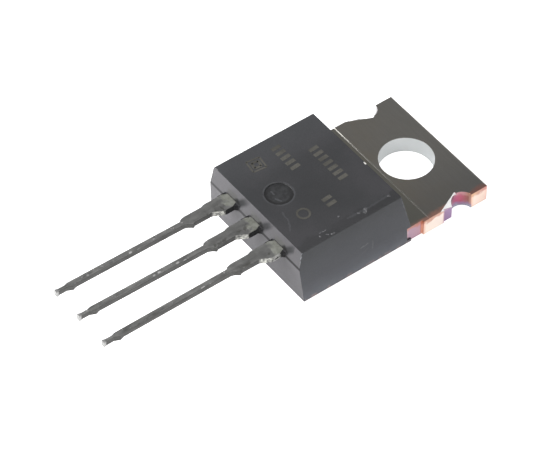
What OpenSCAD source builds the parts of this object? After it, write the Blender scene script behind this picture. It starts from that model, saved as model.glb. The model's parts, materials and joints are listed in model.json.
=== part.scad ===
// Power transistor in a three-lead moulded package with a bare metal tab.
// The origin is on the back of the tab, on the axis of the mounting hole.
// +X is to the right seen from above, +Y points to the free end of the tab, +Z is up.

/* [Tab] */
// Thickness of the tab and of the pad under the chip
tab_t = 1.28; // [1.14:0.02:1.4]
// How far the tab stands out past the base of the moulding on each side
tab_proud = 0.07; // [0.06:0.01:0.15]
// Distance from the hole to the free end of the tab
tab_end = 2.73; // [2.54:0.01:3]
// Diameter of the mounting hole
hole_d = 3.8; // [3.5:0.02:3.94]
// How far the neck between moulding and side steps stays back from the base of the moulding
neck_back = 0.1; // [0.06:0.01:0.12]
// Distance from the hole back to the side steps
neck_step = 2.6; // [2.4:0.02:2.8]
// Radius of the round notch in each side of the tab
notch_r = 0.78; // [0.6:0.01:0.85]
// How far the centre of each notch lies outside the side of the tab
notch_out = 0.07; // [0:0.01:0.15]
// Distance from the hole to the centre of each notch, towards the free end
notch_y = 0.62; // [0.4:0.01:0.9]
// Depth of the flat step in the side of the tab before each notch
notch_step = 0.11; // [0.05:0.01:0.2]
// Length of the flat step, measured back from the centre of the notch
notch_step_len = 1.5; // [1.2:0.05:1.7]
// How far the bevel before each notch reaches in from the side of the tab
bevel_in = 0.86; // [0.6:0.01:0.95]
// Angle between the bevel and the side of the tab, in degrees
bevel_turn = 25; // [20:1:30]
// Slope of the bevel in degrees
bevel_slope = 38; // [30:1:45]
// Distance from the hole back to the edge of the area pressed by the mould clamp
clamp_edge = 2.12; // [2:0.02:2.3]
// Depth of the area pressed by the mould clamp
clamp_depth = 0.03; // [0.02:0.01:0.05]

/* [Moulding] */
// Height of the moulding above the back of the tab
body_h = 4.39; // [4.25:0.01:4.65]
// Width of the moulding at its base
body_w = 10.1; // [10.02:0.02:10.2]
// Slope of the two long sides of the moulding in degrees
side_draft = 4.5; // [3:0.1:5]
// Radius of the two long top edges
top_edge_r = 0.1; // [0.05:0.05:0.4]
// Distance from the hole to the front face at its base
front_base = 12.38; // [12.3:0.01:12.5]
// Distance from the hole to the parting ridge of the front face
front_ridge = 12.61; // [12.55:0.01:12.7]
// Distance from the hole to the front face at its top
front_top = 12.37; // [12.3:0.01:12.5]
// Distance from the hole to the foot of the rear face on the tab
rear_foot = 3.55; // [3.4:0.01:3.7]
// Slope of the rear face in degrees
rear_draft = 13; // [8:0.5:16]
// Distance from the hole to the end of the resin beside the pad
flank_end = 3.88; // [3.8:0.01:4]
// How far the thin resin foot runs on beside the neck of the tab
foot_len = 0.33; // [0.1:0.01:0.4]
// Height of the resin foot
foot_h = 0.2; // [0.1:0.05:0.3]
// Radius of the round ejector mark on top
ejector_r = 0.96; // [0.7:0.02:1.1]
// Depth of the ejector mark
ejector_depth = 0.06; // [0.03:0.01:0.1]
// Sideways offset of the ejector mark
ejector_x = -0.27; // [-0.5:0.01:0.5]
// Distance from the hole to the ejector mark
ejector_dist = 10.42; // [10:0.01:10.8]
// Length of the resin flash on the right of each lead, from the parting ridge
flash_len = 0.88; // [0.5:0.02:0.95]
// Length of the resin flash on the left of each lead
flash_left_len = 0.6; // [0.3:0.05:0.9]
// Reach of the corner web between the right flash and the moulding
flash_web = 0.2; // [0.1:0.02:0.3]
// How far the flash stands out beside the tie-bar stub
flash_proud = 0.04; // [0.02:0.01:0.08]

/* [Leads] */
// Distance between neighbouring leads
lead_pitch = 2.54; // [2.5:0.01:2.6]
// Thickness of the leads
lead_t = 0.42; // [0.36:0.01:0.5]
// Height of the lead underside, which is also the parting plane
lead_z = 2.98; // [2.8:0.01:3.05]
// Length of the leads from the parting ridge
lead_len = 13.65; // [13.4:0.05:14.2]
// Width of each lead where it leaves the moulding
root_w = 0.96; // [0.9:0.01:1.05]
// Length over which the root widens
root_len = 0.3; // [0.2:0.05:0.4]
// Width of each lead across its tie-bar stubs
stub_w = 1.26; // [1.16:0.01:1.3]
// Distance from the parting ridge to the end of the left stub
stub_left_end = 1.74; // [1.6:0.02:1.9]
// Distance from the parting ridge to the shear cut on the right stub
stub_right_end = 1.0; // [0.98:0.02:1.2]
// Length of the sheared slope after the left stub
shear_left = 0.3; // [0.2:0.05:0.4]
// Length of the sheared slope after the right stub
shear_right = 0.7; // [0.5:0.05:0.8]
// Reach of the middle length to the left of the lead line
mid_left = 0.53; // [0.46:0.01:0.56]
// Reach of the middle length to the right of the lead line
mid_right = 0.25; // [0.22:0.01:0.3]
// Distance from the parting ridge to the shoulders
shoulder_at = 3.25; // [3.1:0.05:3.4]
// Length of the shoulders
shoulder_len = 0.6; // [0.5:0.05:0.8]
// How far the burr stands out at the right shoulder
shoulder_burr = 0.1; // [0.03:0.01:0.12]
// Width of the slender shank
shank_w = 0.35; // [0.3:0.01:0.45]
// Sideways offset of the slender shank
shank_shift = -0.14; // [-0.16:0.01:-0.1]
// Sideways lean of the left lead over the length of its shank
lean_left = -0.1; // [-0.2:0.01:0.2]
// Sideways lean of the middle lead over the length of its shank
lean_middle = -0.12; // [-0.2:0.01:0.2]
// Sideways lean of the right lead over the length of its shank
lean_right = 0.03; // [-0.2:0.01:0.2]
// Distance from the lead tip back to the shoulder where the tang begins
tang_len = 1.0; // [0.8:0.05:1.2]
// Width of the tang
tang_w = 0.19; // [0.15:0.01:0.24]
// How far the sheared edge flares out before the tang
tang_flare = 0.1; // [0.05:0.01:0.14]
// Width of the burr across the lead tip
tip_burr_w = 0.3; // [0.25:0.01:0.4]
// Length of the burr across the lead tip
tip_burr_len = 0.12; // [0.08:0.01:0.2]

/* [Inside the moulding] */
// Width of the resin beside the pad at its top, on each side
pad_cover = 0.93; // [0.6:0.01:1.2]
// Distance from the hole to the front end of the pad
pad_end = 9.9; // [9.7:0.05:10.1]
// Width of the resin ledge that locks each side of the pad
pad_ledge_w = 0.3; // [0.15:0.05:0.45]
// Height of the resin ledge that locks each side of the pad
pad_ledge_h = 0.45; // [0.3:0.05:0.6]
// Distance from the hole to the lock groove across the pad
groove_dist = 4.75; // [4.6:0.05:4.9]
// Width of the lock groove
groove_w = 0.4; // [0.2:0.05:0.5]
// Depth of the lock groove
groove_depth = 0.25; // [0.1:0.05:0.4]
// Width of the strap that rises from the pad to the middle lead
strap_w = 1.5; // [1.2:0.1:1.8]
// Length of the flat start of the strap
strap_foot = 0.2; // [0.15:0.05:0.3]
// Slope of the strap in degrees
strap_angle = 60; // [55:1:66]
// Depth of the lead roots inside the moulding
root_depth = 0.45; // [0.4:0.05:0.55]
// Width of the two bonding posts
post_w = 2.3; // [2:0.1:2.4]
// Length of the two bonding posts
post_len = 1.5; // [1.4:0.1:1.6]
// Outward offset of the bonding posts from their leads
post_out = 0.2; // [0.1:0.05:0.25]
// Diameter of the lock hole in each bonding post
post_hole_d = 0.5; // [0.4:0.05:0.6]
// Width of the chip
die_w = 4.2; // [3.8:0.1:4.6]
// Length of the chip
die_len = 4; // [3.6:0.1:4.1]
// Thickness of the chip
die_t = 0.25; // [0.2:0.01:0.35]
// Distance from the hole to the middle of the chip
die_dist = 7.3; // [7.2:0.05:7.4]
// Thickness of the solder under the chip
solder_t = 0.06; // [0.04:0.01:0.1]
// How far the solder reaches past the chip
solder_rim = 0.1; // [0.05:0.05:0.2]
// Diameter of the thin wire to the left post
gate_wire_d = 0.2; // [0.12:0.02:0.24]
// Diameter of the two thick wires to the right post
source_wire_d = 0.38; // [0.25:0.01:0.4]
// Angle at which the wires come down to the posts, in degrees
wire_landing = 12; // [8:1:16]
// Length of the flattened foot at each end of a wire
wire_foot_len = 0.6; // [0.5:0.05:0.7]
// Distance from the left edge of the chip to the thin wire
gate_foot_x = 0.8; // [0.5:0.05:1]
// Distance from the front edge of the chip to the thin wire
gate_foot_y = 0.6; // [0.5:0.05:0.8]
// Distance from the right edge of the chip to the outer thick wire
source_foot_x = 0.5; // [0.4:0.05:0.7]
// Distance from the front edge of the chip to the outer thick wire
source_foot_y = 1.9; // [1.7:0.05:2.1]
// Sideways distance on the chip from the outer to the inner thick wire
source_gap_x = 1.2; // [1:0.05:1.3]
// How much further the inner thick wire reaches over the chip
source_gap_y = 1.1; // [0.8:0.05:1.3]
// Distance between the two thick wires on their post
post_wire_gap = 0.9; // [0.8:0.05:1]

/* [Hidden] */

// Facets of round holes, of wires and of the profile arcs
hole_fn = 96;
wire_fn = 24;
arc_steps = 8;
shoulder_steps = 6;
// How far a cutter reaches past the surface it cuts
past = 0.5;

// Widths of tab, neck and pad follow the base of the moulding
tab_w = body_w + 2 * tab_proud;
neck_w = body_w - 2 * neck_back;
pad_w = body_w - 2 * pad_cover;

// Notch: the bevel runs back from beside the notch centre to the side of the tab
notch_x = tab_w / 2 + notch_out;
bevel_len = bevel_in / sin(bevel_turn);

// Moulding: the rear face leans back from its foot on the tab
tab_seat = tab_t - clamp_depth;
rear_top = rear_foot + (body_h - tab_seat) * tan(rear_draft);
clamp_far = flank_end + past;

// Leads: heights and the sideways reach of each length
lead_top = lead_z + lead_t;
gate_x = -lead_pitch;
source_x = lead_pitch;
shank_end = lead_len - tang_len;

// Inside: the stack on the pad and the two ends of each wire
die_z = tab_t + solder_t;
die_top = die_z + die_t;
post_front = front_ridge - root_depth;
wire_post_dist = post_front - post_len / 2 - wire_foot_len / 4;
die_front = die_dist + die_len / 2;
source_outer_x = die_w / 2 - source_foot_x;
source_outer_dist = die_front - source_foot_y;
// Flattened feet are wider and lower than the round wire
foot_wide = 1.3;
foot_low = 0.6;
// Height of the wire's end in its foot on the chip, as a share of the wire
foot_hold = 0.4;

// Points of an arc about [cx, cy]
function arc(cx, cy, r, a0, a1) =
    [for (i = [0:arc_steps]) let (a = a0 + (a1 - a0) * i / arc_steps)
        [cx + r * cos(a), cy + r * sin(a)]];

// Cross-section of the moulding, seen from the front
function body_section() =
    let (cz = body_h - top_edge_r,
        cx = body_w / 2 - cz * tan(side_draft) - top_edge_r / cos(side_draft))
    concat([[-body_w / 2, 0], [body_w / 2, 0]],
        arc(cx, cz, top_edge_r, side_draft, 90),
        arc(-cx, cz, top_edge_r, 90, 180 - side_draft));

// Side profile of the moulding: front ridge, leaning rear face, step at the tab and resin foot
function body_profile() = [
    [-front_base, 0], [foot_len - flank_end, 0], [foot_len - flank_end, foot_h],
    [-flank_end, foot_h], [-flank_end, tab_seat], [-rear_foot, tab_seat],
    [-rear_top, body_h], [-front_top, body_h], [-front_ridge, lead_z]];

// Left edge of a lead from root to tip, as [sideways, distance from the ridge]
function lead_left() =
    let (mid = -mid_left, shank = shank_shift - shank_w / 2)
    concat(
        [[-root_w / 2, -root_depth], [-root_w / 2, 0], [-stub_w / 2, root_len],
            [-stub_w / 2, stub_left_end], [mid, stub_left_end + shear_left]],
        [for (i = [0:shoulder_steps]) let (t = i / shoulder_steps)
            [shank + (mid - shank) * sqrt(1 - t * t), shoulder_at + shoulder_len * t]],
        [[shank, shank_end], [shank_shift - tang_w / 2, shank_end + tang_len / 4],
            [shank_shift - tang_w / 2, lead_len - tip_burr_len * 2],
            [shank_shift - tip_burr_w / 2, lead_len - tip_burr_len],
            [shank_shift - tip_burr_w / 2, lead_len]]);

// Right edge of a lead from root to tip
function lead_right() =
    let (burr = mid_right + shoulder_burr, shank = shank_shift + shank_w / 2)
    concat(
        [[root_w / 2, -root_depth], [root_w / 2, 0], [stub_w / 2, root_len],
            [stub_w / 2, stub_right_end], [mid_right, stub_right_end + shear_right],
            [mid_right, shoulder_at - shoulder_len / 3]],
        [for (i = [0:shoulder_steps]) let (t = i / shoulder_steps)
            [shank + (burr - shank) * (1 - t) * (1 - t), shoulder_at + shoulder_len * t]],
        [[shank, shank_end - tang_len / 2], [shank + tang_flare, shank_end - tang_len / 5],
            [shank_shift + tang_w / 2, shank_end + tang_len / 5],
            [shank_shift + tang_w / 2, lead_len - tip_burr_len * 2],
            [shank_shift + tip_burr_w / 2, lead_len - tip_burr_len],
            [shank_shift + tip_burr_w / 2, lead_len]]);

// Sideways lean grows from the shoulders to the tip
function leaned(p, lean) =
    [p[0] + lean * max(0, p[1] - shoulder_at) / (lead_len - shoulder_at), -front_ridge - p[1]];

function lead_outline(lean) =
    let (l = lead_left(), r = lead_right())
    concat([for (p = l) leaned(p, lean)], [for (i = [len(r) - 1:-1:0]) leaned(r[i], lean)]);

// A box given by its middle in x, its two y ends and its two z levels
module block(x, w, y0, y1, z0, z1) {
    translate([x - w / 2, y0, z0])
        cube([w, y1 - y0, z1 - z0]);
}

// Flat blade of one lead, from its root inside the moulding to its tip
module lead_blade(x, lean) {
    translate([x, 0, lead_z])
        linear_extrude(height = lead_t)
            polygon(lead_outline(lean));
}

// Round notch, the flat step before it and the bevel over its corner, on the right of the tab
module notch_cutter() {
    translate([notch_x, notch_y, -past])
        cylinder(h = tab_t + 2 * past, r = notch_r, $fn = hole_fn);
    translate([tab_w / 2 - notch_step, notch_y - notch_step_len, -past])
        cube([notch_step + past, notch_step_len, tab_t + 2 * past]);
    translate([tab_w / 2 - bevel_in, notch_y, tab_t])
        rotate([0, 0, bevel_turn])
            rotate([0, bevel_slope, 0])
                translate([0, -bevel_len - past, 0])
                    cube([bevel_len, bevel_len + past, bevel_in]);
}

// Tab with its hole, notches and clamp mark, and the pad that it becomes inside
module tab_and_pad() {
    difference() {
        union() {
            block(0, tab_w, -neck_step, tab_end, 0, tab_t);
            block(0, neck_w, -flank_end, -neck_step, 0, tab_t);
            block(0, pad_w, -pad_end, -flank_end, 0, tab_t);
        }
        translate([0, 0, -past])
            cylinder(h = tab_t + 2 * past, r = hole_d / 2, $fn = hole_fn);
        notch_cutter();
        mirror([1, 0, 0])
            notch_cutter();
        block(0, tab_w + 2 * past, -clamp_far, -clamp_edge, tab_seat, tab_t + past);
        for (side = [-1, 1])
            block(side * pad_w / 2, 2 * pad_ledge_w, -pad_end - past, -flank_end - pad_ledge_w, -past,
                pad_ledge_h);
        translate([-pad_w / 2 - past, -groove_dist, tab_t])
            rotate([90, 0, 90])
                linear_extrude(height = pad_w + 2 * past)
                    polygon([[-groove_w / 2, 0], [0, -groove_depth], [groove_w / 2, 0],
                        [groove_w / 2, past], [-groove_w / 2, past]]);
    }
}

// Strap that rises from the end of the pad to the parting plane
module strap() {
    bend = lead_t * tan(strap_angle / 2);
    rise = lead_top - tab_t;
    y0 = -pad_end;
    y1 = y0 - strap_foot;
    y2 = y1 - rise / tan(strap_angle);
    translate([-strap_w / 2, 0, 0])
        rotate([90, 0, 90])
            linear_extrude(height = strap_w)
                polygon([[y0, tab_t - lead_t], [y1 - bend, tab_t - lead_t], [y2 - bend, lead_z],
                    [-post_front, lead_z], [-post_front, lead_top], [y2, lead_top], [y1, tab_t],
                    [y0, tab_t]]);
}

// Bonding post of an outer lead, with its lock hole
module post(x, out) {
    difference() {
        block(x + out, post_w, -post_front, -post_front + post_len, lead_z, lead_top);
        translate([x + out + sign(out) * post_w / 4, -post_front + post_hole_d, lead_z - past])
            cylinder(h = lead_t + 2 * past, r = post_hole_d / 2, $fn = wire_fn);
    }
}

// Flattened foot of a wire on a surface, x0 to x1 along the wire
module wire_foot(x0, x1, d) {
    translate([x0, -foot_wide * d / 2, 0])
        cube([x1 - x0, foot_wide * d, foot_low * d]);
}

// Wire from the chip to a post: one arc whose ends are held in two flattened feet
module bond_wire(x0, dist0, x1, dist1, d) {
    dx = x1 - x0;
    dy = dist0 - dist1;
    span = norm([dx, dy]);
    step = lead_top - die_top;
    rise = step + d / 2 - foot_hold * d;
    chord_angle = atan2(rise, span);
    half_angle = chord_angle + wire_landing;
    arc_r = norm([span, rise]) / (2 * sin(half_angle));
    translate([x0, -dist0, die_top])
        rotate([0, 0, atan2(dy, dx)]) {
            wire_foot(d / 2 - wire_foot_len, foot_wide * d / 2, d);
            translate([span + arc_r * sin(-wire_landing), 0,
                step + d / 2 - arc_r * cos(wire_landing)])
                rotate([90, 0, 0])
                    rotate([0, 0, 90 - wire_landing])
                        rotate_extrude(angle = 2 * half_angle, $fn = 4 * wire_fn)
                            translate([arc_r, 0])
                                circle(r = d / 2, $fn = wire_fn);
            translate([0, 0, step])
                wire_foot(span - wire_foot_len / 2, span + wire_foot_len / 2, d);
        }
}

// Resin flash on both flanks of each lead, with a corner web on the right
module flash_strips() {
    outer = stub_w / 2 + flash_proud;
    for (x = [gate_x, 0, source_x])
        translate([x, -front_ridge, lead_z])
            linear_extrude(height = lead_t)
                polygon([[-outer, -flash_left_len], [0, -flash_left_len], [0, -flash_len],
                    [outer, -flash_len], [outer, -flash_web], [outer + flash_web, 0],
                    [outer + flash_web, root_depth], [-outer, root_depth]]);
}

module heatsink_leadframe() {
    color("#8f8c84") {
        tab_and_pad();
        strap();
        lead_blade(0, lean_middle);
    }
}

module gate_lead() {
    color("#8c8d8b") {
        post(gate_x, -post_out);
        lead_blade(gate_x, lean_left);
    }
}

module source_lead() {
    color("#8c8d8b") {
        post(source_x, post_out);
        lead_blade(source_x, lean_right);
    }
}

module silicon_die() {
    color("#5c6470")
        block(0, die_w, -die_dist - die_len / 2, -die_dist + die_len / 2, die_z, die_top);
}

module die_attach_solder() {
    reach = die_len / 2 + solder_rim;
    color("#a9acae")
        block(0, die_w + 2 * solder_rim, -die_dist - reach, -die_dist + reach, tab_t, die_z);
}

module gate_bond_wire() {
    color("#d2d4d6")
        bond_wire(gate_foot_x - die_w / 2, die_front - gate_foot_y, gate_x, wire_post_dist,
            gate_wire_d);
}

module source_bond_wire_inner() {
    color("#d2d4d6")
        bond_wire(source_outer_x - source_gap_x, source_outer_dist - source_gap_y,
            source_x - post_wire_gap / 2, wire_post_dist, source_wire_d);
}

module source_bond_wire_outer() {
    color("#d2d4d6")
        bond_wire(source_outer_x, source_outer_dist, source_x + post_wire_gap / 2, wire_post_dist,
            source_wire_d);
}

// Everything that the resin flows around
module moulded_in() {
    heatsink_leadframe();
    gate_lead();
    source_lead();
    silicon_die();
    die_attach_solder();
    gate_bond_wire();
    source_bond_wire_inner();
    source_bond_wire_outer();
}

module moulded_body() {
    length = front_ridge + 2 * past;
    color("#46474a")
        difference() {
            union() {
                intersection() {
                    rotate([90, 0, 0])
                        linear_extrude(height = length)
                            polygon(body_section());
                    translate([-body_w / 2 - past, 0, 0])
                        rotate([90, 0, 90])
                            linear_extrude(height = body_w + 2 * past)
                                polygon(body_profile());
                }
                flash_strips();
            }
            translate([ejector_x, -ejector_dist, body_h - ejector_depth])
                cylinder(h = ejector_depth + past, r = ejector_r, $fn = hole_fn);
            moulded_in();
        }
}

moulded_body();
heatsink_leadframe();
gate_lead();
source_lead();
silicon_die();
die_attach_solder();
gate_bond_wire();
source_bond_wire_inner();
source_bond_wire_outer();
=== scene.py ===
"""Finish, markings, wear and studio for a power transistor that lies on the back of its tab."""
import json
import math

import bpy
from bpy.props import FloatProperty, FloatVectorProperty, PointerProperty
from mathutils import Matrix, Vector

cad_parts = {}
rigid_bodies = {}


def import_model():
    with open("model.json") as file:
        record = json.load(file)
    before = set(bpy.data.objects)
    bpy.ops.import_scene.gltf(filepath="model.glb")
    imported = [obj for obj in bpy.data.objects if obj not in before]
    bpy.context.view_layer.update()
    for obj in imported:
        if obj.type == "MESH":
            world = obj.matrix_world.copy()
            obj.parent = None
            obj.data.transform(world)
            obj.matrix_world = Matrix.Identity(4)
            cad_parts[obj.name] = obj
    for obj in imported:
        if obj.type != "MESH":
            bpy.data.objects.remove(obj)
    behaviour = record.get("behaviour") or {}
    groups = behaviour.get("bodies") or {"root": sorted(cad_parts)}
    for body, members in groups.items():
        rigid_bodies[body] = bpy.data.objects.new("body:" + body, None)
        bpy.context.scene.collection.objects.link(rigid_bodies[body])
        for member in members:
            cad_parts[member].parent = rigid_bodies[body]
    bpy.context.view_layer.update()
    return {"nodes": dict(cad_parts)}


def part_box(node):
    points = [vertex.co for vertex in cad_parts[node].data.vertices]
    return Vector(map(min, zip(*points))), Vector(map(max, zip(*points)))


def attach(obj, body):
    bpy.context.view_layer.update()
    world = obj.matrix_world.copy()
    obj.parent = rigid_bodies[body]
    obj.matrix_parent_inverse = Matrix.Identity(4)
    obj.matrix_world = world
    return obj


bl_info = {
    "name": "Power transistor finish",
    "version": (1, 0, 0),
    "blender": (4, 5, 0),
    "location": "3D View > Sidebar > Transistor",
    "description": "Finishes the moulding, metal and leads of a power transistor and sets its stage",
    "category": "Object",
}

for leftover in list(bpy.data.objects):
    bpy.data.objects.remove(leftover)
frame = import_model()

MM = 0.001
body_high = Vector(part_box("moulded_body")[1]) / MM
lead_low, lead_high = (Vector(corner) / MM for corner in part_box("gate_lead"))
frame_high = Vector(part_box("heatsink_leadframe")[1]) / MM

# Places on the part in millimetres, in the part's own frame
BODY_TOP = body_high.z
PARTING = lead_low.z
LEAD_TOP = lead_high.z
TIP = lead_low.y
TAB_END = frame_high.y
SIDE = frame_high.x
TAB_TOP = 1.28
LEAD_PITCH = 2.54
FRONT = -12.61
REAR_TOP = -4.27
SIDE_TOP = 4.72
SHOULDER = FRONT - 3.6
CLAMP_EDGE = -2.12
BORE = 1.9
EJECTOR = (-0.27, -10.42)
EJECTOR_R = 0.96
EJECTOR_FLOOR = BODY_TOP - 0.06

# Rubbed edges and scratches of the moulding, as width, strength, paleness and points
SCRATCHES = (
    (0.06, 0.45, 2.4, [(-SIDE_TOP, -12.3, BODY_TOP), (-SIDE_TOP, REAR_TOP, BODY_TOP)]),
    (0.07, 0.8, 11.0, [(SIDE_TOP, FRONT + 0.25, BODY_TOP), (4.82, FRONT, PARTING + 0.3)]),
    (0.07, 0.7, 4.0, [(SIDE_TOP, REAR_TOP, BODY_TOP), (4.95, -3.56, 1.3)]),
    (0.07, 0.3, 3.0, [(1.20, -11.25, BODY_TOP), (1.85, -11.33, BODY_TOP), (2.25, -11.5, BODY_TOP),
                      (2.75, -11.8, BODY_TOP)]),
    (0.07, 0.6, 4.5, [(4.90, -7.66, 1.90), (4.90, -7.10, 1.96)]),
    (0.06, 0.3, 4.0, [(4.94, -7.61, 1.32), (4.92, -7.10, 1.53)]),
    (0.06, 0.45, 4.2, [(4.90, -6.69, 1.93), (4.95, -6.74, 1.30)]),
    (0.10, 0.25, 3.0, [(4.1, -8.2, BODY_TOP), (4.15, -6.2, BODY_TOP), (4.05, -4.8, BODY_TOP)]),
)
# Chips in the top face, as width, start and end
CHIPS = (
    (0.06, (4.03, -10.4), (4.06, -9.95)),
    (0.07, (4.37, -10.12), (4.45, -10.02)),
    (0.06, (4.56, -9.85), (4.56, -9.62)),
    (0.05, (4.22, -10.56), (4.3, -10.52)),
    (0.17, (4.17, -6.82), (4.3, -6.98)),
    (0.06, (4.15, -7.35), (4.2, -7.3)),
    (0.05, (3.6, -8.6), (3.62, -8.5)),
    (0.10, (-4.66, -12.4), (-4.42, -12.36)),
    (0.05, (4.1, -4.95), (4.2, -4.85)),
)
# Larger pale grains on the leads, as place and length
GRAINS = (
    (-2.6, -20.6, 0.1), (-2.5, -20.0, 0.08), (-0.12, -20.5, 0.08), (-0.14, -20.1, 0.1),
    (-0.1, -18.7, 0.12), (0.02, -18.2, 0.14), (2.57, -18.65, 0.16), (2.64, -18.1, 0.12),
)
# Rows of plain blocks on the top face, as middle of the first block, foot and count
BLOCK_ROWS = ((-2.07, -6.57, 7), (-3.60, -8.50, 5), (1.93, -8.57, 2))
BLOCK_STEP = 0.52
BLOCK_WIDE = 0.3
BLOCK_TALL = 0.73
BLOCK_LEAN = 0.05
SQUARES = (-3.2, -10.05)
RING = (2.06, -10.2)


class TransistorSettings(bpy.types.PropertyGroup):
    """What a maker may want to change about the finish and the stage."""
    epoxy: FloatVectorProperty(name="Epoxy", description="Colour of the moulding", subtype="COLOR",
                               size=3, min=0, max=1, default=(0.030, 0.031, 0.0335))
    # Painted light: this colour makes the front wall paler than the epoxy, for the key light and sheen on
    # it.
    front_wall: FloatVectorProperty(name="Front wall", description="Colour of the scoured front wall",
                                    subtype="COLOR", size=3, min=0, max=1,
                                    default=(0.125, 0.122, 0.130))
    epoxy_roughness: FloatProperty(name="Epoxy roughness", description="How matt the moulding is",
                                   default=0.52, min=0, max=1, subtype="FACTOR")
    plate: FloatVectorProperty(name="Tab plating", description="Colour of the plated tab",
                               subtype="COLOR", size=3, min=0, max=1, default=(0.30, 0.29, 0.265))
    tin: FloatVectorProperty(name="Lead plating", description="Colour of the tinned leads",
                             subtype="COLOR", size=3, min=0, max=1, default=(0.29, 0.29, 0.28))
    print_ink: FloatVectorProperty(name="Marking", description="Colour of the burnt-in marking",
                                   subtype="COLOR", size=3, min=0, max=1,
                                   default=(0.175, 0.168, 0.145))
    mark_height: FloatProperty(name="Marking height", description="How far the marking stands out",
                               default=0.008 * MM, min=0.001 * MM, max=0.03 * MM, unit="LENGTH")
    edge_round: FloatProperty(name="Edge round", description="Shaded rounding of the edges",
                              default=0.05 * MM, min=0, max=0.2 * MM, unit="LENGTH")
    key_strength: FloatProperty(name="Key light", description="Strength of the front left light",
                                default=1.0, min=0, max=5)
    fill_strength: FloatProperty(name="Fill light", description="Strength of the overhead light",
                                 default=1.0, min=0, max=5)
    camera_turn: FloatProperty(name="Camera azimuth", description="Turn of the camera round the part",
                               default=math.radians(53.03), subtype="ANGLE")
    camera_lift: FloatProperty(name="Camera elevation", description="Angle above the table",
                               default=math.radians(47.905), subtype="ANGLE")
    camera_roll: FloatProperty(name="Camera roll", description="Roll about the line of sight",
                               default=math.radians(0.069), subtype="ANGLE")
    camera_distance: FloatProperty(name="Camera distance", description="From lens to the point aimed at",
                                   default=0.225, min=0.05, max=1, unit="LENGTH")
    camera_lens: FloatProperty(name="Focal length", description="Focal length in millimetres",
                               default=228.87, min=20, max=600)


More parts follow.
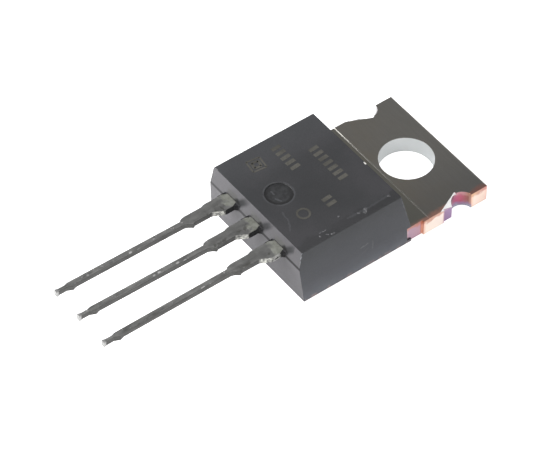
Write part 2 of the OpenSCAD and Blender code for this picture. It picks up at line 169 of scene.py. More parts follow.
class Shader:
    """Builds the node tree of one material in a few words."""

    def __init__(self, name):
        self.material = bpy.data.materials.new(name)
        self.material.use_nodes = True
        self.tree = self.material.node_tree
        self.tree.nodes.clear()
        self.out = self.tree.nodes.new("ShaderNodeOutputMaterial")
        self.surface = self.tree.nodes.new("ShaderNodeBsdfPrincipled")
        self.tree.links.new(self.surface.outputs[0], self.out.inputs[0])
        place = self.tree.nodes.new("ShaderNodeTexCoord")
        scaled = self.node("ShaderNodeVectorMath", operation="SCALE")
        self.tree.links.new(place.outputs["Object"], scaled.inputs[0])
        scaled.inputs["Scale"].default_value = 1 / MM
        self.mm = scaled.outputs[0]
        split = self.node("ShaderNodeSeparateXYZ")
        self.tree.links.new(self.mm, split.inputs[0])
        self.x, self.y, self.z = split.outputs
        geometry = self.node("ShaderNodeNewGeometry")
        facing = self.node("ShaderNodeSeparateXYZ")
        self.tree.links.new(geometry.outputs["True Normal"], facing.inputs[0])
        self.nx, self.ny, self.nz = facing.outputs

    def node(self, kind, **settings):
        made = self.tree.nodes.new(kind)
        for key, value in settings.items():
            setattr(made, key, value)
        return made

    def feed(self, socket, value):
        if isinstance(value, bpy.types.NodeSocket):
            self.tree.links.new(value, socket)
        elif isinstance(value, (tuple, list)) and len(value) == 3 and socket.type == "RGBA":
            socket.default_value = (*value, 1)
        else:
            socket.default_value = value

    def set(self, **values):
        for key, value in values.items():
            label = key.replace("_", " ").title().replace("Ior", "IOR")
            self.feed(self.surface.inputs[label], value)

    def math(self, operation, a, b=0.0):
        made = self.node("ShaderNodeMath", operation=operation)
        self.feed(made.inputs[0], a)
        self.feed(made.inputs[1], b)
        return made.outputs[0]

    def band(self, value, low, high, soft):
        """1 between low and high, falling to 0 over the soft width outside."""
        rise = self.remap(value, low - soft, low, 0, 1)
        fall = self.remap(value, high, high + soft, 1, 0)
        return self.math("MULTIPLY", rise, fall)

    def remap(self, value, low, high, to_low, to_high):
        made = self.node("ShaderNodeMapRange", interpolation_type="SMOOTHSTEP")
        for i, part in enumerate((value, low, high, to_low, to_high)):
            self.feed(made.inputs[i], part)
        return made.outputs[0]

    def both(self, *masks):
        result = masks[0]
        for mask in masks[1:]:
            result = self.math("MULTIPLY", result, mask)
        return result

    def noise(self, scale, detail=3.0, roughness=0.5, stretch=None, low=0.3, high=0.7):
        made = self.node("ShaderNodeTexNoise")
        vector = self.mm
        if stretch:
            shaped = self.node("ShaderNodeVectorMath", operation="MULTIPLY")
            self.tree.links.new(self.mm, shaped.inputs[0])
            shaped.inputs[1].default_value = stretch
            vector = shaped.outputs[0]
        self.tree.links.new(vector, made.inputs["Vector"])
        made.inputs["Scale"].default_value = scale
        made.inputs["Detail"].default_value = detail
        made.inputs["Roughness"].default_value = roughness
        return self.remap(made.outputs[0], low, high, 0, 1)

    def mix(self, factor, a, b, blend="MIX"):
        made = self.node("ShaderNodeMix", data_type="RGBA", blend_type=blend)
        self.feed(made.inputs[0], factor)
        self.feed(made.inputs[6], a)
        self.feed(made.inputs[7], b)
        return made.outputs[2]

    def torn(self, scale, reach):
        """Places in millimetres pushed about by noise, which tears the outline of a mark."""
        made = self.node("ShaderNodeTexNoise")
        self.tree.links.new(self.mm, made.inputs["Vector"])
        made.inputs["Scale"].default_value = scale
        push = self.vector("MULTIPLY_ADD", made.outputs["Color"], (reach,) * 3, (-reach / 2,) * 3)
        return self.vector("ADD", self.mm, push)

    def vector(self, operation, *parts):
        made = self.node("ShaderNodeVectorMath", operation=operation)
        for socket, part in zip(made.inputs, parts):
            self.feed(socket, part)
        return made.outputs[1 if operation in ("DOT_PRODUCT", "DISTANCE") else 0]

    def scratch(self, place, points, width):
        """1 on a line through the points, falling to 0 half a width outside it."""
        result = None
        for a, b in zip(points, points[1:]):
            run = Vector(b) - Vector(a)
            from_a = self.vector("SUBTRACT", place, a)
            along = self.vector("DOT_PRODUCT", from_a, tuple(run / run.length_squared))
            share = self.math("MINIMUM", self.math("MAXIMUM", along, 0.0), 1.0)
            spread = self.node("ShaderNodeCombineXYZ")
            for socket in spread.inputs:
                self.feed(socket, share)
            nearest = self.vector("MULTIPLY", spread.outputs[0], tuple(run))
            mask = self.remap(self.vector("DISTANCE", from_a, nearest), width / 2, width, 1, 0)
            result = self.math("MAXIMUM", result, mask) if result else mask
        return result

    def blend_value(self, factor, a, b):
        made = self.node("ShaderNodeMix", data_type="FLOAT")
        self.feed(made.inputs[0], factor)
        self.feed(made.inputs[2], a)
        self.feed(made.inputs[3], b)
        return made.outputs[0]

    def ramp(self, value, low, high, stops):
        """Colours along value, as (place, colour) in the units of value."""
        made = self.node("ShaderNodeValToRGB")
        self.feed(made.inputs[0], self.flat_map(value, low, high))
        elements = made.color_ramp.elements
        while len(elements) < len(stops):
            elements.new(0.5)
        for element, (place, colour) in zip(elements, stops):
            element.position = (place - low) / (high - low)
            element.color = (*colour, 1)
        return made.outputs[0]

    def flat_map(self, value, low, high):
        made = self.node("ShaderNodeMapRange")
        for i, part in enumerate((value, low, high, 0.0, 1.0)):
            self.feed(made.inputs[i], part)
        return made.outputs[0]

    def relief(self, height, depth, strength=1.0, edge=None):
        """Bump of the given depth in millimetres, over edges shaded as rounded."""
        made = self.node("ShaderNodeBump")
        made.inputs["Strength"].default_value = strength
        made.inputs["Distance"].default_value = depth * MM
        self.feed(made.inputs["Height"], height)
        if edge:
            rounded = self.node("ShaderNodeBevel", samples=4)
            rounded.inputs["Radius"].default_value = edge
            self.tree.links.new(rounded.outputs[0], made.inputs["Normal"])
        self.tree.links.new(made.outputs[0], self.surface.inputs["Normal"])

    def shade_in_corners(self, colour, reach, share):
        """Painted shade: darkens the colour where surfaces meet and in tight gaps, where shade falls."""
        made = self.node("ShaderNodeAmbientOcclusion", samples=6)
        made.inputs["Distance"].default_value = reach * MM
        dark = self.remap(made.outputs["AO"], 0.25, 0.9, share, 0.0)
        return self.mix(dark, colour, (0.004, 0.004, 0.004))


def give(piece, shader):
    """Puts one material on a piece in place of any that it has."""
    piece.data.materials.clear()
    piece.data.materials.append(shader.material)
    return piece


def new_piece(name, vertices, faces, shader):
    """A mesh in millimetres that moves with the part."""
    mesh = bpy.data.meshes.new(name)
    mesh.from_pydata([tuple(c * MM for c in v) for v in vertices], [], faces)
    mesh.update()
    piece = bpy.data.objects.new(name, mesh)
    bpy.context.scene.collection.objects.link(piece)
    give(piece, shader)
    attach(piece, "root")
    return piece


class Slab:
    """Collects flat prisms on the top of the moulding into one mesh."""

    def __init__(self, low, high):
        self.low, self.high = low, high
        self.vertices, self.faces = [], []

    def outline(self, points):
        """A filled prism over a convex outline that runs anticlockwise."""
        start, count = len(self.vertices), len(points)
        self.vertices += [(x, y, self.low) for x, y in points]
        self.vertices += [(x, y, self.high) for x, y in points]
        self.faces.append([start + count + i for i in range(count)])
        self.faces.append([start + count - 1 - i for i in range(count)])
        for i in range(count):
            j = (i + 1) % count
            self.faces.append([start + i, start + j, start + count + j, start + count + i])

    def stroke(self, a, b, width):
        """A straight stroke from a to b."""
        along = (Vector(b) - Vector(a)).normalized()
        side = Vector((-along.y, along.x)) * width / 2
        a, b = Vector(a), Vector(b)
        self.outline([tuple(p) for p in (a - side, b - side, b + side, a + side)])

    def ring(self, centre, radius, width, sides=48):
        inner, outer = radius - width / 2, radius + width / 2
        turn = [2 * math.pi * i / sides for i in range(sides + 1)]
        for a, b in zip(turn, turn[1:]):
            self.outline([(centre[0] + r * math.cos(t), centre[1] + r * math.sin(t))
                          for r, t in ((inner, a), (outer, a), (outer, b), (inner, b))])


class PieceOperator:
    """What the operators have in common."""
    bl_options = {"REGISTER", "UNDO"}

    def need(self, *names):
        missing = [n for n in names if n not in frame["nodes"]]
        if missing:
            raise RuntimeError("the packed part has no piece named " + ", ".join(missing))
        return [frame["nodes"][n] for n in names]

    def execute(self, context):
        self.build(context.scene.transistor)
        return {"FINISHED"}


class TRANSISTOR_OT_moulding(PieceOperator, bpy.types.Operator):
    """Give the moulding its matt epoxy with ejector mark, parting line, chips and scratches"""
    bl_idname = "transistor.moulding"
    bl_label = "Finish moulding"

    def build(self, settings):
        body, = self.need("moulded_body")
        s = Shader("moulded epoxy")
        tone = Vector(settings.epoxy)
        cloud = s.noise(0.45, 3.0)
        grain = s.noise(14.0, 2.0)
        colour = self.top_face(s, tone, cloud)
        colour = self.walls(s, settings, colour, tone)
        colour = s.mix(s.both(grain, 0.3), colour, s.mix(1.0, colour, (1.35, 1.35, 1.35), "MULTIPLY"))
        colour = self.ejector_mark(s, colour, tone)
        colour = self.lead_roots(s, colour, tone)
        colour, chips = self.wear(s, colour, tone)
        flash = s.remap(s.y, FRONT - 0.03, FRONT - 0.01, 1, 0)
        colour = s.mix(flash, colour, s.mix(s.noise(6.0, 2.0), tuple(tone * 0.05), tuple(tone * 0.5)))
        clear_of_wall = s.remap(s.y, FRONT - 0.4, FRONT - 0.2, 1, 0)
        pale_flash = s.both(flash, s.remap(s.x, 2.5, 2.6, 0, 1), clear_of_wall,
                            s.noise(4.0, 2.0, low=0.3, high=0.5))
        colour = s.mix(pale_flash, colour, (0.42, 0.42, 0.40))
        # Painted shade where other surfaces meet the moulding, as round the lead roots.
        colour = s.shade_in_corners(colour, 0.25, 0.45)
        rough = s.blend_value(cloud, settings.epoxy_roughness, settings.epoxy_roughness + 0.06)
        s.set(base_color=colour, ior=1.52, roughness=s.blend_value(flash, rough, 0.9),
              specular_ior_level=0.5)
        height = s.math("ADD", s.both(grain, 0.6), s.both(s.noise(3.0, 3.0), 0.8))
        height = s.math("SUBTRACT", height, s.both(chips, 4.0))
        s.relief(height, 0.004, 0.8, settings.edge_round)
        give(body, s)

    def top_face(self, s, tone, cloud):
        """Mottled epoxy, a little paler at the left and at the front left corner, darker round the middle
        and along the right edge.
        """
        cool, warm = tone * 0.9, Vector((tone.x * 1.16, tone.y * 1.1, tone.z * 1.12))
        colour = s.mix(cloud, tuple(cool), tuple(warm))
        left = s.remap(s.x, -4.5, -1.0, 1, 0)
        colour = s.mix(s.both(left, 0.65), colour, tuple(tone * 1.6))
        corner = s.both(s.remap(s.x, -5.0, -3.2, 1, 0), s.remap(s.y, FRONT, FRONT + 1.6, 1, 0))
        colour = s.mix(s.both(corner, 0.8), colour, tuple(tone * 1.8))
        around = s.vector("DISTANCE", s.mm, (1.0, -8.4, BODY_TOP))
        colour = s.mix(s.remap(around, 0.5, 4.2, 0.75, 0.0), colour, tuple(tone * 0.72))
        wander = s.math("ADD", s.x, s.both(s.noise(1.1, 3.0), 0.55))
        on_top = s.remap(s.z, BODY_TOP - 0.05, BODY_TOP - 0.02, 0, 1)
        dark = s.both(s.band(wander, 4.5, 5.1, 0.35), on_top, s.remap(s.y, -9.0, -6.0, 0.25, 0.5))
        return s.mix(dark, colour, tuple(tone * 0.3))

    def walls(self, s, settings, colour, tone):
        """Painted light: the front wall is painted paler than the top, as the key light and its sheen fall
        on it, and the side walls are paler than the top and painted paler still towards the bottom, where
        the white table lights them.
        """
        side = s.remap(s.math("ABSOLUTE", s.nx), 0.85, 0.9, 0, 1)
        bluish = Vector((tone.x * 0.98, tone.y, tone.z * 1.05))
        # Painted light: the side walls grow paler towards the bottom, where the white table lights them.
        plain = s.ramp(s.z, 0.0, 4.4, (
            (0.2, bluish * 4.2), (0.7, bluish * 3.0), (1.5, bluish * 2.0), (3.0, bluish * 1.45),
            (4.2, bluish * 0.95)))
        scuffed = s.both(s.noise(0.9, 3.0, low=0.4, high=0.7), 0.2)
        colour = s.mix(side, colour, s.mix(scuffed, plain, tuple(bluish * 2.1)))
        rubbed = s.both(side, s.remap(s.z, 0.08, 0.3, 1, 0), s.noise(2.2, 3.0, low=0.45, high=0.6))
        colour = s.mix(s.both(rubbed, 0.8), colour, (0.30, 0.235, 0.225))
        # Painted light: the front wall is painted paler, most of all low down and towards the left.
        front = s.remap(s.ny, -0.9, -0.8, 1, 0)
        pale = Vector(settings.front_wall)
        across = s.flat_map(s.x, -5.0, 5.0)
        lower = s.mix(across, tuple(pale * 1.15), tuple(pale * 0.98))
        upper = s.mix(across, tuple(pale * 1.0), tuple(pale * 0.78))
        lit = s.mix(s.remap(s.z, PARTING - 0.05, PARTING + 0.05, 0, 1), lower, upper)
        lit = s.mix(s.both(s.noise(1.3, 3.0), 0.3), lit, tuple(pale * 0.82))
        return s.mix(front, colour, lit)

    def ejector_mark(self, s, colour, tone):
        """Round pit with a darker rim, a few pale scrapes and a thin raised ring."""
        dx = s.math("SUBTRACT", s.x, EJECTOR[0])
        dy = s.math("SUBTRACT", s.y, EJECTOR[1])
        reach = s.math("SQRT", s.math("ADD", s.math("MULTIPLY", dx, dx), s.math("MULTIPLY", dy, dy)))
        on_top = s.remap(s.z, BODY_TOP - 0.2, BODY_TOP - 0.15, 0, 1)
        pit = s.both(s.remap(reach, EJECTOR_R - 0.03, EJECTOR_R + 0.01, 1, 0), on_top)
        inside = s.mix(s.noise(3.2, 2.0, low=0.4, high=0.62), tuple(tone * 0.5), tuple(tone * 0.85))
        turned = s.math("SUBTRACT", s.math("MULTIPLY", dx, 0.8), s.math("MULTIPLY", dy, 0.6))
        crescent = s.both(s.band(reach, EJECTOR_R - 0.16, EJECTOR_R, 0.12),
                          s.remap(turned, -0.6, 0.3, 0.35, 1.0))
        inside = s.mix(s.both(crescent, 0.8), inside, tuple(tone * 0.12))
        place = s.torn(4.0, 0.16)
        floor = EJECTOR_FLOOR
        front_scrape = s.scratch(place, [(-0.05, -10.85, floor), (0.28, -10.66, floor)], 0.1)
        left_scrape = s.scratch(place, [(-0.77, -10.69, floor), (-0.44, -10.69, floor)], 0.07)
        scrapes = s.math("MAXIMUM", front_scrape, left_scrape)
        inside = s.mix(s.both(scrapes, 0.55), inside, tuple(tone * 2.6))
        colour = s.mix(pit, colour, inside)
        rim = s.both(s.band(reach, EJECTOR_R + 0.04, EJECTOR_R + 0.09, 0.05), on_top,
                     s.noise(2.0, 2.0, low=0.25, high=0.5))
        return s.mix(s.both(rim, 0.4), colour, tuple(tone * 2.6))

    def lead_roots(self, s, colour, tone):
        """Dark parting line, tight dark gap round each lead and the painted shadow that each lead casts on
        the wall beside it.
        """
        front = s.both(s.remap(s.y, FRONT + 0.3, FRONT + 0.35, 1, 0), s.remap(s.ny, -0.9, -0.8, 1, 0))
        seam = s.both(s.band(s.z, PARTING - 0.05, PARTING + 0.13, 0.06), front)
        colour = s.mix(s.both(seam, s.remap(s.x, -5.0, 3.5, 0.7, 0.98)), colour, tuple(tone * 0.2))
        row = s.both(front, s.band(s.x, -3.3, 4.0, 0.05))
        half_gap, first_edge = 0.53, 0.77
        shifted = s.math("ADD", s.x, first_edge + 2 * LEAD_PITCH)
        local = s.math("SUBTRACT", s.math("FLOORED_MODULO", shifted, LEAD_PITCH), first_edge)
        stain = s.both(s.band(local, -0.4, 0.45, 0.15), s.band(s.z, LEAD_TOP, LEAD_TOP + 0.45, 0.15), row)
        colour = s.mix(s.both(stain, 0.35), colour, (0.105, 0.108, 0.092))
        gap = s.both(s.band(local, -half_gap, half_gap, 0.03), s.band(s.z, PARTING, LEAD_TOP + 0.05, 0.03),
                     row)
        colour = s.mix(s.both(gap, 0.85), colour, tuple(tone * 0.1))
        # Painted shadow: a soft dark band running up and to the right from each lead root.
        across = s.math("SUBTRACT", local, half_gap)
        up = s.math("SUBTRACT", s.z, LEAD_TOP)
        along = s.math("ADD", s.math("MULTIPLY", across, 0.7), s.math("MULTIPLY", up, 0.7))
        aside = s.math("SUBTRACT", s.math("MULTIPLY", across, 0.7), s.math("MULTIPLY", up, 0.7))
        lead_shadow = s.both(s.band(along, -0.2, 0.2, 0.22), s.band(aside, -0.16, 0.22, 0.2), row)
        shadow_trail = s.both(s.remap(along, 0.7, 1.7, 0.92, 0.1), s.remap(along, -0.1, 0.1, 0, 1),
                       s.band(aside, 0.0, 0.2, 0.26), row)
        colour = s.mix(shadow_trail, colour, tuple(tone * 0.85))
        return s.mix(s.both(lead_shadow, 0.92), colour, tuple(tone * 0.12))

    def wear(self, s, colour, tone):
        """Pale lines along rubbed edges, scratches and chips, as (colour, mask of the chips)."""
        place = s.torn(5.0, 0.22)
        for width, strength, paleness, points in SCRATCHES:
            mask = s.scratch(place, points, width)
            colour = s.mix(s.both(mask, strength), colour, tuple(tone * paleness))
        chips = None
        for width, start, end in CHIPS:
            mask = s.scratch(place, [(*start, BODY_TOP), (*end, BODY_TOP)], width)
            chips = s.math("MAXIMUM", chips, mask) if chips else mask
        pale = s.mix(s.noise(9.0, 2.0, low=0.4, high=0.7), (0.07, 0.071, 0.075), (0.28, 0.28, 0.29))
        colour = s.mix(s.both(chips, 0.85), colour, pale)
        glint = s.scratch(place, [(0.85, REAR_TOP, BODY_TOP), (1.02, REAR_TOP, BODY_TOP)], 0.1)
        return s.mix(glint, colour, (0.82, 0.80, 0.76)), chips


class TRANSISTOR_OT_marking(PieceOperator, bpy.types.Operator):
    """Lay plain blocks and simple shapes where the moulding is marked"""
    bl_idname = "transistor.marking"
    bl_label = "Add marking"

    def build(self, settings):
        s = Shader("burnt marking")
        ink = Vector(settings.print_ink)
        worn = s.both(s.noise(0.8, 1.0, low=0.35, high=0.65), s.noise(7.0, 2.0, low=0.2, high=0.5))
        s.set(base_color=s.mix(worn, tuple(ink * 0.30), tuple(ink * 0.48)), roughness=0.75)
        s.relief(s.noise(20.0, 2.0), 0.003, 0.6)
        slab = Slab(BODY_TOP - 0.01, BODY_TOP + settings.mark_height / MM)
        for first, foot, count in BLOCK_ROWS:
            for i in range(count):
                x = first + BLOCK_STEP * i
                slab.stroke((x, foot), (x - BLOCK_LEAN, foot + BLOCK_TALL), BLOCK_WIDE)
        self.square(slab, SQUARES, 1.0, 0.13)
        self.square(slab, SQUARES, 0.5, 0.2)
        slab.ring(RING, 0.42, 0.15)
        new_piece("top_marking", slab.vertices, slab.faces, s)

    def square(self, slab, centre, size, width):
        """The outline of a square, turned a little."""
        turn = [math.radians(38 + 90 * i) for i in range(4)]
        reach = size * 0.7
        corners = [(centre[0] + reach * math.cos(t), centre[1] + reach * math.sin(t)) for t in turn]
        for a, b in zip(corners, corners[1:] + corners[:1]):
            slab.stroke(a, b, width)


def lead_colour(s, settings):
    """Colour of a tinned lead with painted shade on its sides, and masks of its sheared sides and of its
    pale root.
    """
    tin = Vector(settings.tin)
    mottle = s.noise(1.6, 4.0)
    streak = s.noise(5.0, 3.0, stretch=(1.0, 0.16, 1.0))
    on_top = s.remap(s.nz, 0.5, 0.7, 0, 1)
    shifted = s.math("FLOORED_MODULO", s.math("ADD", s.x, 1.5 * LEAD_PITCH), LEAD_PITCH)
    across = s.math("SUBTRACT", shifted, LEAD_PITCH / 2)
    wide = s.remap(s.y, SHOULDER - 0.3, SHOULDER + 0.3, 0, 1)
    bright = s.mix(mottle, tuple(tin * 0.74), tuple(tin * 1.08))
    bright = s.mix(s.both(streak, 0.4), bright, tuple(tin * 1.5))
    # Painted shade: the slender part darkens towards the right side of each lead, as a rounded lead shades
    # away from the light.
    bright = s.mix(s.remap(across, -0.12, 0.2, 0.0, 0.5), bright, tuple(tin * 0.6))
    dull = s.mix(mottle, tuple(tin * 0.80), tuple(tin * 1.05))
    # Painted light: the wide part is paler towards the left side of each lead.
    dull = s.mix(s.remap(across, -0.6, -0.2, 0.35, 0.0), dull, tuple(tin * 1.4))
    colour = s.mix(wide, bright, dull)
    # Dark patches, partly grime and partly painted shade, denser towards the right side of each lead.
    dirt_and_shade = s.both(s.noise(1.9, 4.0, low=0.52, high=0.62), s.remap(across, -0.1, 0.15, 0.1, 0.55))
    colour = s.mix(dirt_and_shade, colour, (0.085, 0.085, 0.07))
    colour = s.mix(s.both(specks(s), on_top, 0.75), colour, (0.85, 0.85, 0.83))
    sheared = s.both(s.band(s.y, FRONT - 1.55, FRONT - 0.75, 0.2), s.remap(s.nx, 0.2, 0.4, 0, 1))
    # Painted shade: the upright sides of each lead, away from the sheared part, are much darker than its
    # top.
    upright = s.remap(s.math("ABSOLUTE", s.nz), 0.4, 0.7, 1, 0)
    shaded_flank = s.both(upright, s.remap(sheared, 0.0, 0.5, 1, 0))
    colour = s.mix(s.both(shaded_flank, 0.85), colour, s.mix(streak, tuple(tin * 0.22), tuple(tin * 0.40)))
    ragged = s.noise(5.0, 3.0, low=0.35, high=0.65)
    colour = s.mix(sheared, colour, s.mix(ragged, tuple(tin * 0.7), (0.66, 0.66, 0.61)))
    tip = s.remap(s.y, TIP + 0.1, TIP + 0.25, 1, 0)
    colour = s.mix(tip, colour, (0.52, 0.52, 0.51))
    torn_root = s.math("ADD", s.y, s.both(s.noise(3.0, 3.0), 0.5))
    root = s.both(s.band(torn_root, FRONT - 0.12, FRONT + 0.5, 0.35), on_top)
    colour = s.mix(root, colour, s.mix(s.noise(2.5, 3.0), (0.17, 0.175, 0.15), (0.27, 0.275, 0.245)))
    return colour, sheared, root, streak


def specks(s):
    """Pale grains on the slender part of each lead, with a few larger ones at chosen places."""
    result = s.both(s.noise(3.5, 2.0, low=0.66, high=0.70),
                    s.remap(s.y, SHOULDER, SHOULDER + 0.3, 0.6, 0.0))
    place = s.torn(6.0, 0.12)
    for x, y, length in GRAINS:
        grain = s.scratch(place, [(x, y, LEAD_TOP), (x, y + length, LEAD_TOP)], 0.09)
        result = s.math("MAXIMUM", result, grain)
    return result


def tab_top_colour(s, settings):
    """Satin plate, duller where the mould clamp pressed it, with painted highlights as bright lines at the
    clamp step and along the free end.
    """
    plate = Vector(settings.plate)
    on_top = s.remap(s.nz, 0.3, 0.6, 0, 1)
    brushed = s.noise(3.0, 3.0, stretch=(0.25, 2.0, 1.0))
    colour = s.mix(s.both(brushed, 0.5), tuple(plate), tuple(plate * 1.12))
    warm = s.both(s.remap(s.y, -2.0, 2.5, 1, 0), s.noise(0.5, 2.0))
    colour = s.mix(s.both(warm, 0.6), colour, tuple(plate * Vector((1.08, 1.0, 0.88))))
    right = s.remap(s.x, 0.0, 5.0, 0, 1)
    colour = s.mix(s.both(right, 0.5), colour, tuple(plate * Vector((0.60, 0.62, 0.66))))
    pressed = s.both(s.band(s.y, -4.4, CLAMP_EDGE - 0.01, 0.01), on_top)
    colour = s.mix(s.both(pressed, 0.5), colour, tuple(plate * Vector((0.72, 0.75, 0.68))))
    # Painted highlight: a bright line where the clamp step catches the light, growing fainter towards the
    # right.
    line = s.both(s.band(s.y, CLAMP_EDGE - 0.05, CLAMP_EDGE + 0.01, 0.02),
                  s.remap(s.x, -4.0, 2.0, 0.85, 0.4))
    colour = s.mix(s.both(line, on_top), colour, tuple(plate * 2.3))
    # Painted highlight: a bright line along the rounded top edge of the free end.
    end_highlight = s.remap(s.y, TAB_END - 0.09, TAB_END - 0.05, 0, 1)
    colour = s.mix(s.both(end_highlight, on_top, 0.5), colour, tuple(plate * 2.2))
    worn_edge = s.math("SUBTRACT", s.x, s.both(s.noise(2.2, 2.0), 0.15))
    rim = s.both(s.remap(worn_edge, SIDE - 0.55, SIDE - 0.2, 0, 1), s.remap(s.y, -3.9, -2.6, 0.2, 1.0),
                 on_top)
    tint = s.mix(s.remap(s.y, -0.5, 1.5, 0, 1), (0.62, 0.33, 0.26), (0.44, 0.22, 0.18))
    return s.mix(s.both(rim, 0.85), colour, tint)


def tab_wall_colour(s):
    """Punched flanks of the tab: bare copper tints on the right, grey on the left, pale bore."""
    colour = s.ramp(s.y, -4.0, 2.8, (
        (-3.9, (0.72, 0.52, 0.52)), (-3.72, (0.52, 0.36, 0.45)), (-2.75, (0.54, 0.35, 0.42)),
        (-2.66, (0.80, 0.46, 0.34)), (-2.54, (0.96, 0.68, 0.56)), (-2.38, (0.97, 0.85, 0.76)),
        (-1.00, (0.97, 0.85, 0.77)), (-0.90, (0.66, 0.42, 0.48)), (-0.82, (0.38, 0.25, 0.40)),
        (-0.2, (0.40, 0.28, 0.46)), (-0.08, (0.80, 0.76, 0.80)), (0.08, (0.80, 0.72, 0.76)),
        (0.18, (0.50, 0.22, 0.30)),
        (0.6, (0.53, 0.13, 0.24)), (1.10, (0.48, 0.14, 0.19)), (1.34, (0.38, 0.17, 0.14)),
        (1.45, (0.94, 0.64, 0.50)), (1.65, (0.93, 0.77, 0.68)), (2.45, (0.91, 0.72, 0.62)),
        (2.68, (0.93, 0.64, 0.56))))
    in_notch = s.band(s.y, 0.0, 1.4, 0.1)
    level = s.math("ADD", s.z, s.both(s.noise(1.8, 2.0), 0.2))
    colour = s.mix(s.both(s.remap(level, 0.35, 0.65, 1, 0), in_notch, 0.85), colour, (0.38, 0.28, 0.42))
    colour = s.mix(s.both(s.remap(level, 0.15, 0.35, 1, 0), in_notch, 0.85), colour, (0.42, 0.46, 0.53))
    rim = s.remap(level, TAB_TOP - 0.32, TAB_TOP - 0.06, 0, 1)
    rim_tint = s.ramp(s.y, -4.0, 2.8, (
        (-3.9, (0.60, 0.28, 0.20)), (-2.3, (0.50, 0.16, 0.07)), (-1.0, (0.55, 0.22, 0.13)),
        (-0.8, (0.52, 0.40, 0.48)), (0.3, (0.60, 0.36, 0.40)), (1.2, (0.55, 0.32, 0.32)),
        (1.5, (0.62, 0.34, 0.14)), (2.3, (0.45, 0.12, 0.09)), (2.7, (0.50, 0.12, 0.12))))
    colour = s.mix(s.both(rim, 0.7), colour, rim_tint)
    plated = s.mix(s.noise(1.5, 3.0), (0.56, 0.55, 0.56), (0.70, 0.69, 0.70))
    colour = s.mix(s.remap(s.x, -1.0, 1.0, 1, 0), colour, plated)
    inner = s.remap(s.math("ABSOLUTE", s.x), SIDE - 0.12, SIDE - 0.06, 1, 0)
    clamp_step = s.both(s.band(s.y, CLAMP_EDGE - 0.15, CLAMP_EDGE + 0.15, 0.02), inner)
    # Painted highlight: the wall of the clamp step is paler at the left and grows darker towards the
    # right, like the bright line above it.
    step_highlight = s.mix(s.remap(s.x, -4.5, 2.0, 0, 1), (0.27, 0.27, 0.26), (0.17, 0.17, 0.16))
    colour = s.mix(clamp_step, colour, step_highlight)
    free_end = s.remap(s.y, TAB_END - 0.04, TAB_END - 0.02, 0, 1)
    colour = s.mix(free_end, colour, s.mix(s.noise(1.5, 3.0), (0.72, 0.58, 0.50), (0.84, 0.72, 0.64)))
    away = s.math("SQRT", s.math("ADD", s.math("MULTIPLY", s.x, s.x), s.math("MULTIPLY", s.y, s.y)))
    bore = s.remap(away, BORE + 0.05, BORE + 0.1, 1, 0)
    return s.mix(bore, colour, (0.60, 0.62, 0.62))


def metal(name, settings, tab):
    """Plated metal: tinned leads in front and, where tab is true, the tab behind them."""
    s = Shader(name)
    colour, sheared, root, streak = lead_colour(s, settings)
    rough = s.blend_value(streak, 0.42, 0.55)
    plating = s.math("SUBTRACT", 1.0, s.both(root, 0.8))
    if tab:
        on_tab = s.remap(s.y, -12.0, -11.0, 0, 1)
        upright = s.remap(s.math("ABSOLUTE", s.nz), 0.3, 0.6, 1, 0)
        # Painted highlight: the bevel along the tab's top edges is painted white and less metallic on the
        # right, where it catches the light, and dark on the left.
        bevel = s.both(s.band(s.nz, 0.7, 0.86, 0.05), on_tab)
        tab_colour = s.mix(upright, tab_top_colour(s, settings), tab_wall_colour(s))
        right = s.remap(s.x, -1.0, 1.0, 0, 1)
        tab_colour = s.mix(bevel, tab_colour, s.mix(right, (0.11, 0.11, 0.105), (1.0, 0.99, 0.98)))
        colour = s.mix(on_tab, colour, tab_colour)
        rough = s.blend_value(on_tab, rough, s.blend_value(upright, 0.33, 0.28))
        plating = s.math("SUBTRACT", plating, s.both(bevel, right, 0.9))
    s.set(base_color=colour, metallic=plating, roughness=rough)
    height = s.math("ADD", s.both(streak, 0.5), s.both(s.noise(1.2, 3.0), 0.8))
    height = s.math("ADD", height, s.both(sheared, s.noise(9.0, 2.0), 2.5))
    height = s.both(height, s.remap(s.nz, -0.9, -0.6, 0.15, 1.0))
    s.relief(height, 0.012, 0.8, settings.edge_round)
    return s


class TRANSISTOR_OT_leadframe(PieceOperator, bpy.types.Operator):
    """Give the tab, its cut flanks and the middle lead their finish"""
    bl_idname = "transistor.leadframe"
    bl_label = "Finish tab and middle lead"

    def build(self, settings):
        tab, = self.need("heatsink_leadframe")
        give(tab, metal("plated tab", settings, True))


class TRANSISTOR_OT_leads(PieceOperator, bpy.types.Operator):
    """Give the two outer leads their dull tin finish"""
    bl_idname = "transistor.leads"
    bl_label = "Finish outer leads"

    def build(self, settings):
        s = metal("tinned lead", settings, False)
        for lead in self.need("gate_lead", "source_lead"):
            give(lead, s)


class TRANSISTOR_OT_inside(PieceOperator, bpy.types.Operator):
    """Finish the chip, its solder and its wires inside the moulding"""
    bl_idname = "transistor.inside"
    bl_label = "Finish inner pieces"

    def build(self, settings):
        chip, solder, *wires = self.need("silicon_die", "die_attach_solder", "gate_bond_wire",
                                         "source_bond_wire_inner", "source_bond_wire_outer")
        s = Shader("silicon chip")
        s.set(base_color=s.mix(s.noise(2.0), (0.10, 0.12, 0.17), (0.16, 0.18, 0.22)),
              metallic=0.4, roughness=0.2)
        give(chip, s)
        s = Shader("dull solder")
        s.set(base_color=s.mix(s.noise(4.0), (0.48, 0.49, 0.50), (0.62, 0.63, 0.64)),
              metallic=1.0, roughness=0.45)
        give(solder, s)
        s = Shader("bonding wire")
        s.set(base_color=s.mix(s.noise(6.0), (0.72, 0.72, 0.74), (0.86, 0.86, 0.88)),
              metallic=1.0, roughness=0.3)
        for wire in wires:
            give(wire, s)


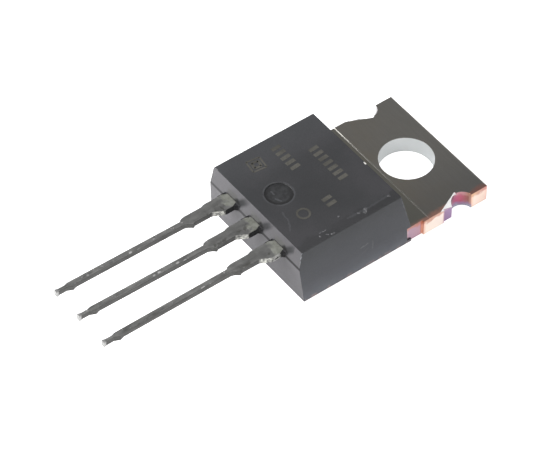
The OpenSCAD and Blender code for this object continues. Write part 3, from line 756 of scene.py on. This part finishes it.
class TRANSISTOR_OT_stage(PieceOperator, bpy.types.Operator):
    """Set the white table, the lights and the camera"""
    bl_idname = "transistor.stage"
    bl_label = "Set the stage"

    def build(self, settings):
        scene = bpy.context.scene
        scene.view_settings.view_transform = "Standard"
        bpy.ops.mesh.primitive_plane_add(size=4.0, location=(0, 0, -0.02 * MM))
        floor = bpy.context.object
        floor.name = "table"
        s = Shader("white table")
        path = s.node("ShaderNodeLightPath")
        mirrored = s.math("ADD", path.outputs["Is Glossy Ray"], path.outputs["Is Transmission Ray"])
        glow = s.math("ADD", s.both(path.outputs["Is Camera Ray"], 0.7), s.both(mirrored, 0.22))
        s.set(base_color=s.mix(s.noise(0.002), (0.93, 0.93, 0.93), (0.95, 0.95, 0.95)), roughness=0.8,
              specular_ior_level=0.2, emission_color=(1.0, 1.0, 1.0),
              emission_strength=glow)
        give(floor, s)
        self.sky(scene)
        aim = Vector((-1.21, -10.43, 0.55)) * MM
        self.lamp("key softbox", aim, (-0.45, -0.80, 0.62), 0.55, 0.60, 3.6 * settings.key_strength)
        self.lamp("overhead softbox", aim, (0.35, 0.10, 0.95), 0.60, 0.70, 1.6 * settings.fill_strength)
        self.camera(scene, settings, aim)

    def sky(self, scene):
        world = bpy.data.worlds.new("studio")
        scene.world = world
        world.use_nodes = True
        tree = world.node_tree
        tree.nodes.clear()
        out = tree.nodes.new("ShaderNodeOutputWorld")
        light = tree.nodes.new("ShaderNodeBackground")
        place = tree.nodes.new("ShaderNodeTexCoord")
        split = tree.nodes.new("ShaderNodeSeparateXYZ")
        ramp = tree.nodes.new("ShaderNodeValToRGB")
        tree.links.new(place.outputs["Generated"], split.inputs[0])
        tree.links.new(split.outputs[2], ramp.inputs[0])
        tree.links.new(ramp.outputs[0], light.inputs[0])
        tree.links.new(light.outputs[0], out.inputs[0])
        low, high = ramp.color_ramp.elements
        low.position, low.color = 0.22, (1, 1, 1, 1)
        high.position, high.color = 0.5, (0.30, 0.30, 0.31, 1)

    def lamp(self, name, aim, direction, distance, size, power):
        data = bpy.data.lights.new(name, "AREA")
        data.shape = "DISK"
        data.size = size
        data.energy = power
        lamp = bpy.data.objects.new(name, data)
        bpy.context.scene.collection.objects.link(lamp)
        away = Vector(direction).normalized()
        lamp.location = aim + away * distance
        lamp.rotation_mode = "QUATERNION"
        lamp.rotation_quaternion = away.to_track_quat("Z", "Y")

    def camera(self, scene, settings, aim):
        turn, lift, roll = settings.camera_turn, settings.camera_lift, settings.camera_roll
        back = Vector((math.sin(turn) * math.cos(lift), -math.cos(turn) * math.cos(lift), math.sin(lift)))
        right = Vector((math.cos(turn), math.sin(turn), 0))
        up = back.cross(right)
        side = right * math.cos(roll) + up * math.sin(roll)
        over = up * math.cos(roll) - right * math.sin(roll)
        data = bpy.data.cameras.new("camera")
        data.sensor_width = 36
        data.lens = settings.camera_lens
        data.clip_start = 0.01
        data.clip_end = 10
        camera = bpy.data.objects.new("camera", data)
        scene.collection.objects.link(camera)
        camera.matrix_world = (Matrix.Translation(aim + back * settings.camera_distance)
                               @ Matrix((side, over, back)).transposed().to_4x4())
        scene.camera = camera


OPERATORS = (TRANSISTOR_OT_moulding, TRANSISTOR_OT_marking, TRANSISTOR_OT_leadframe,
             TRANSISTOR_OT_leads, TRANSISTOR_OT_inside, TRANSISTOR_OT_stage)


class TRANSISTOR_PT_panel(bpy.types.Panel):
    """Sidebar panel with a button for each step"""
    bl_idname = "TRANSISTOR_PT_panel"
    bl_label = "Power transistor"
    bl_space_type = "VIEW_3D"
    bl_region_type = "UI"
    bl_category = "Transistor"

    def draw(self, context):
        for operator in OPERATORS:
            self.layout.operator(operator.bl_idname)
        for name in TransistorSettings.__annotations__:
            self.layout.prop(context.scene.transistor, name)


CLASSES = (TransistorSettings, *OPERATORS, TRANSISTOR_PT_panel)


def register():
    for cls in CLASSES:
        bpy.utils.register_class(cls)
    bpy.types.Scene.transistor = PointerProperty(type=TransistorSettings)


def unregister():
    del bpy.types.Scene.transistor
    for cls in reversed(CLASSES):
        bpy.utils.unregister_class(cls)


def main():
    register()
    for operator in OPERATORS:
        family, name = operator.bl_idname.split(".")
        getattr(getattr(bpy.ops, family), name)()


if __name__ == "__main__":
    main()
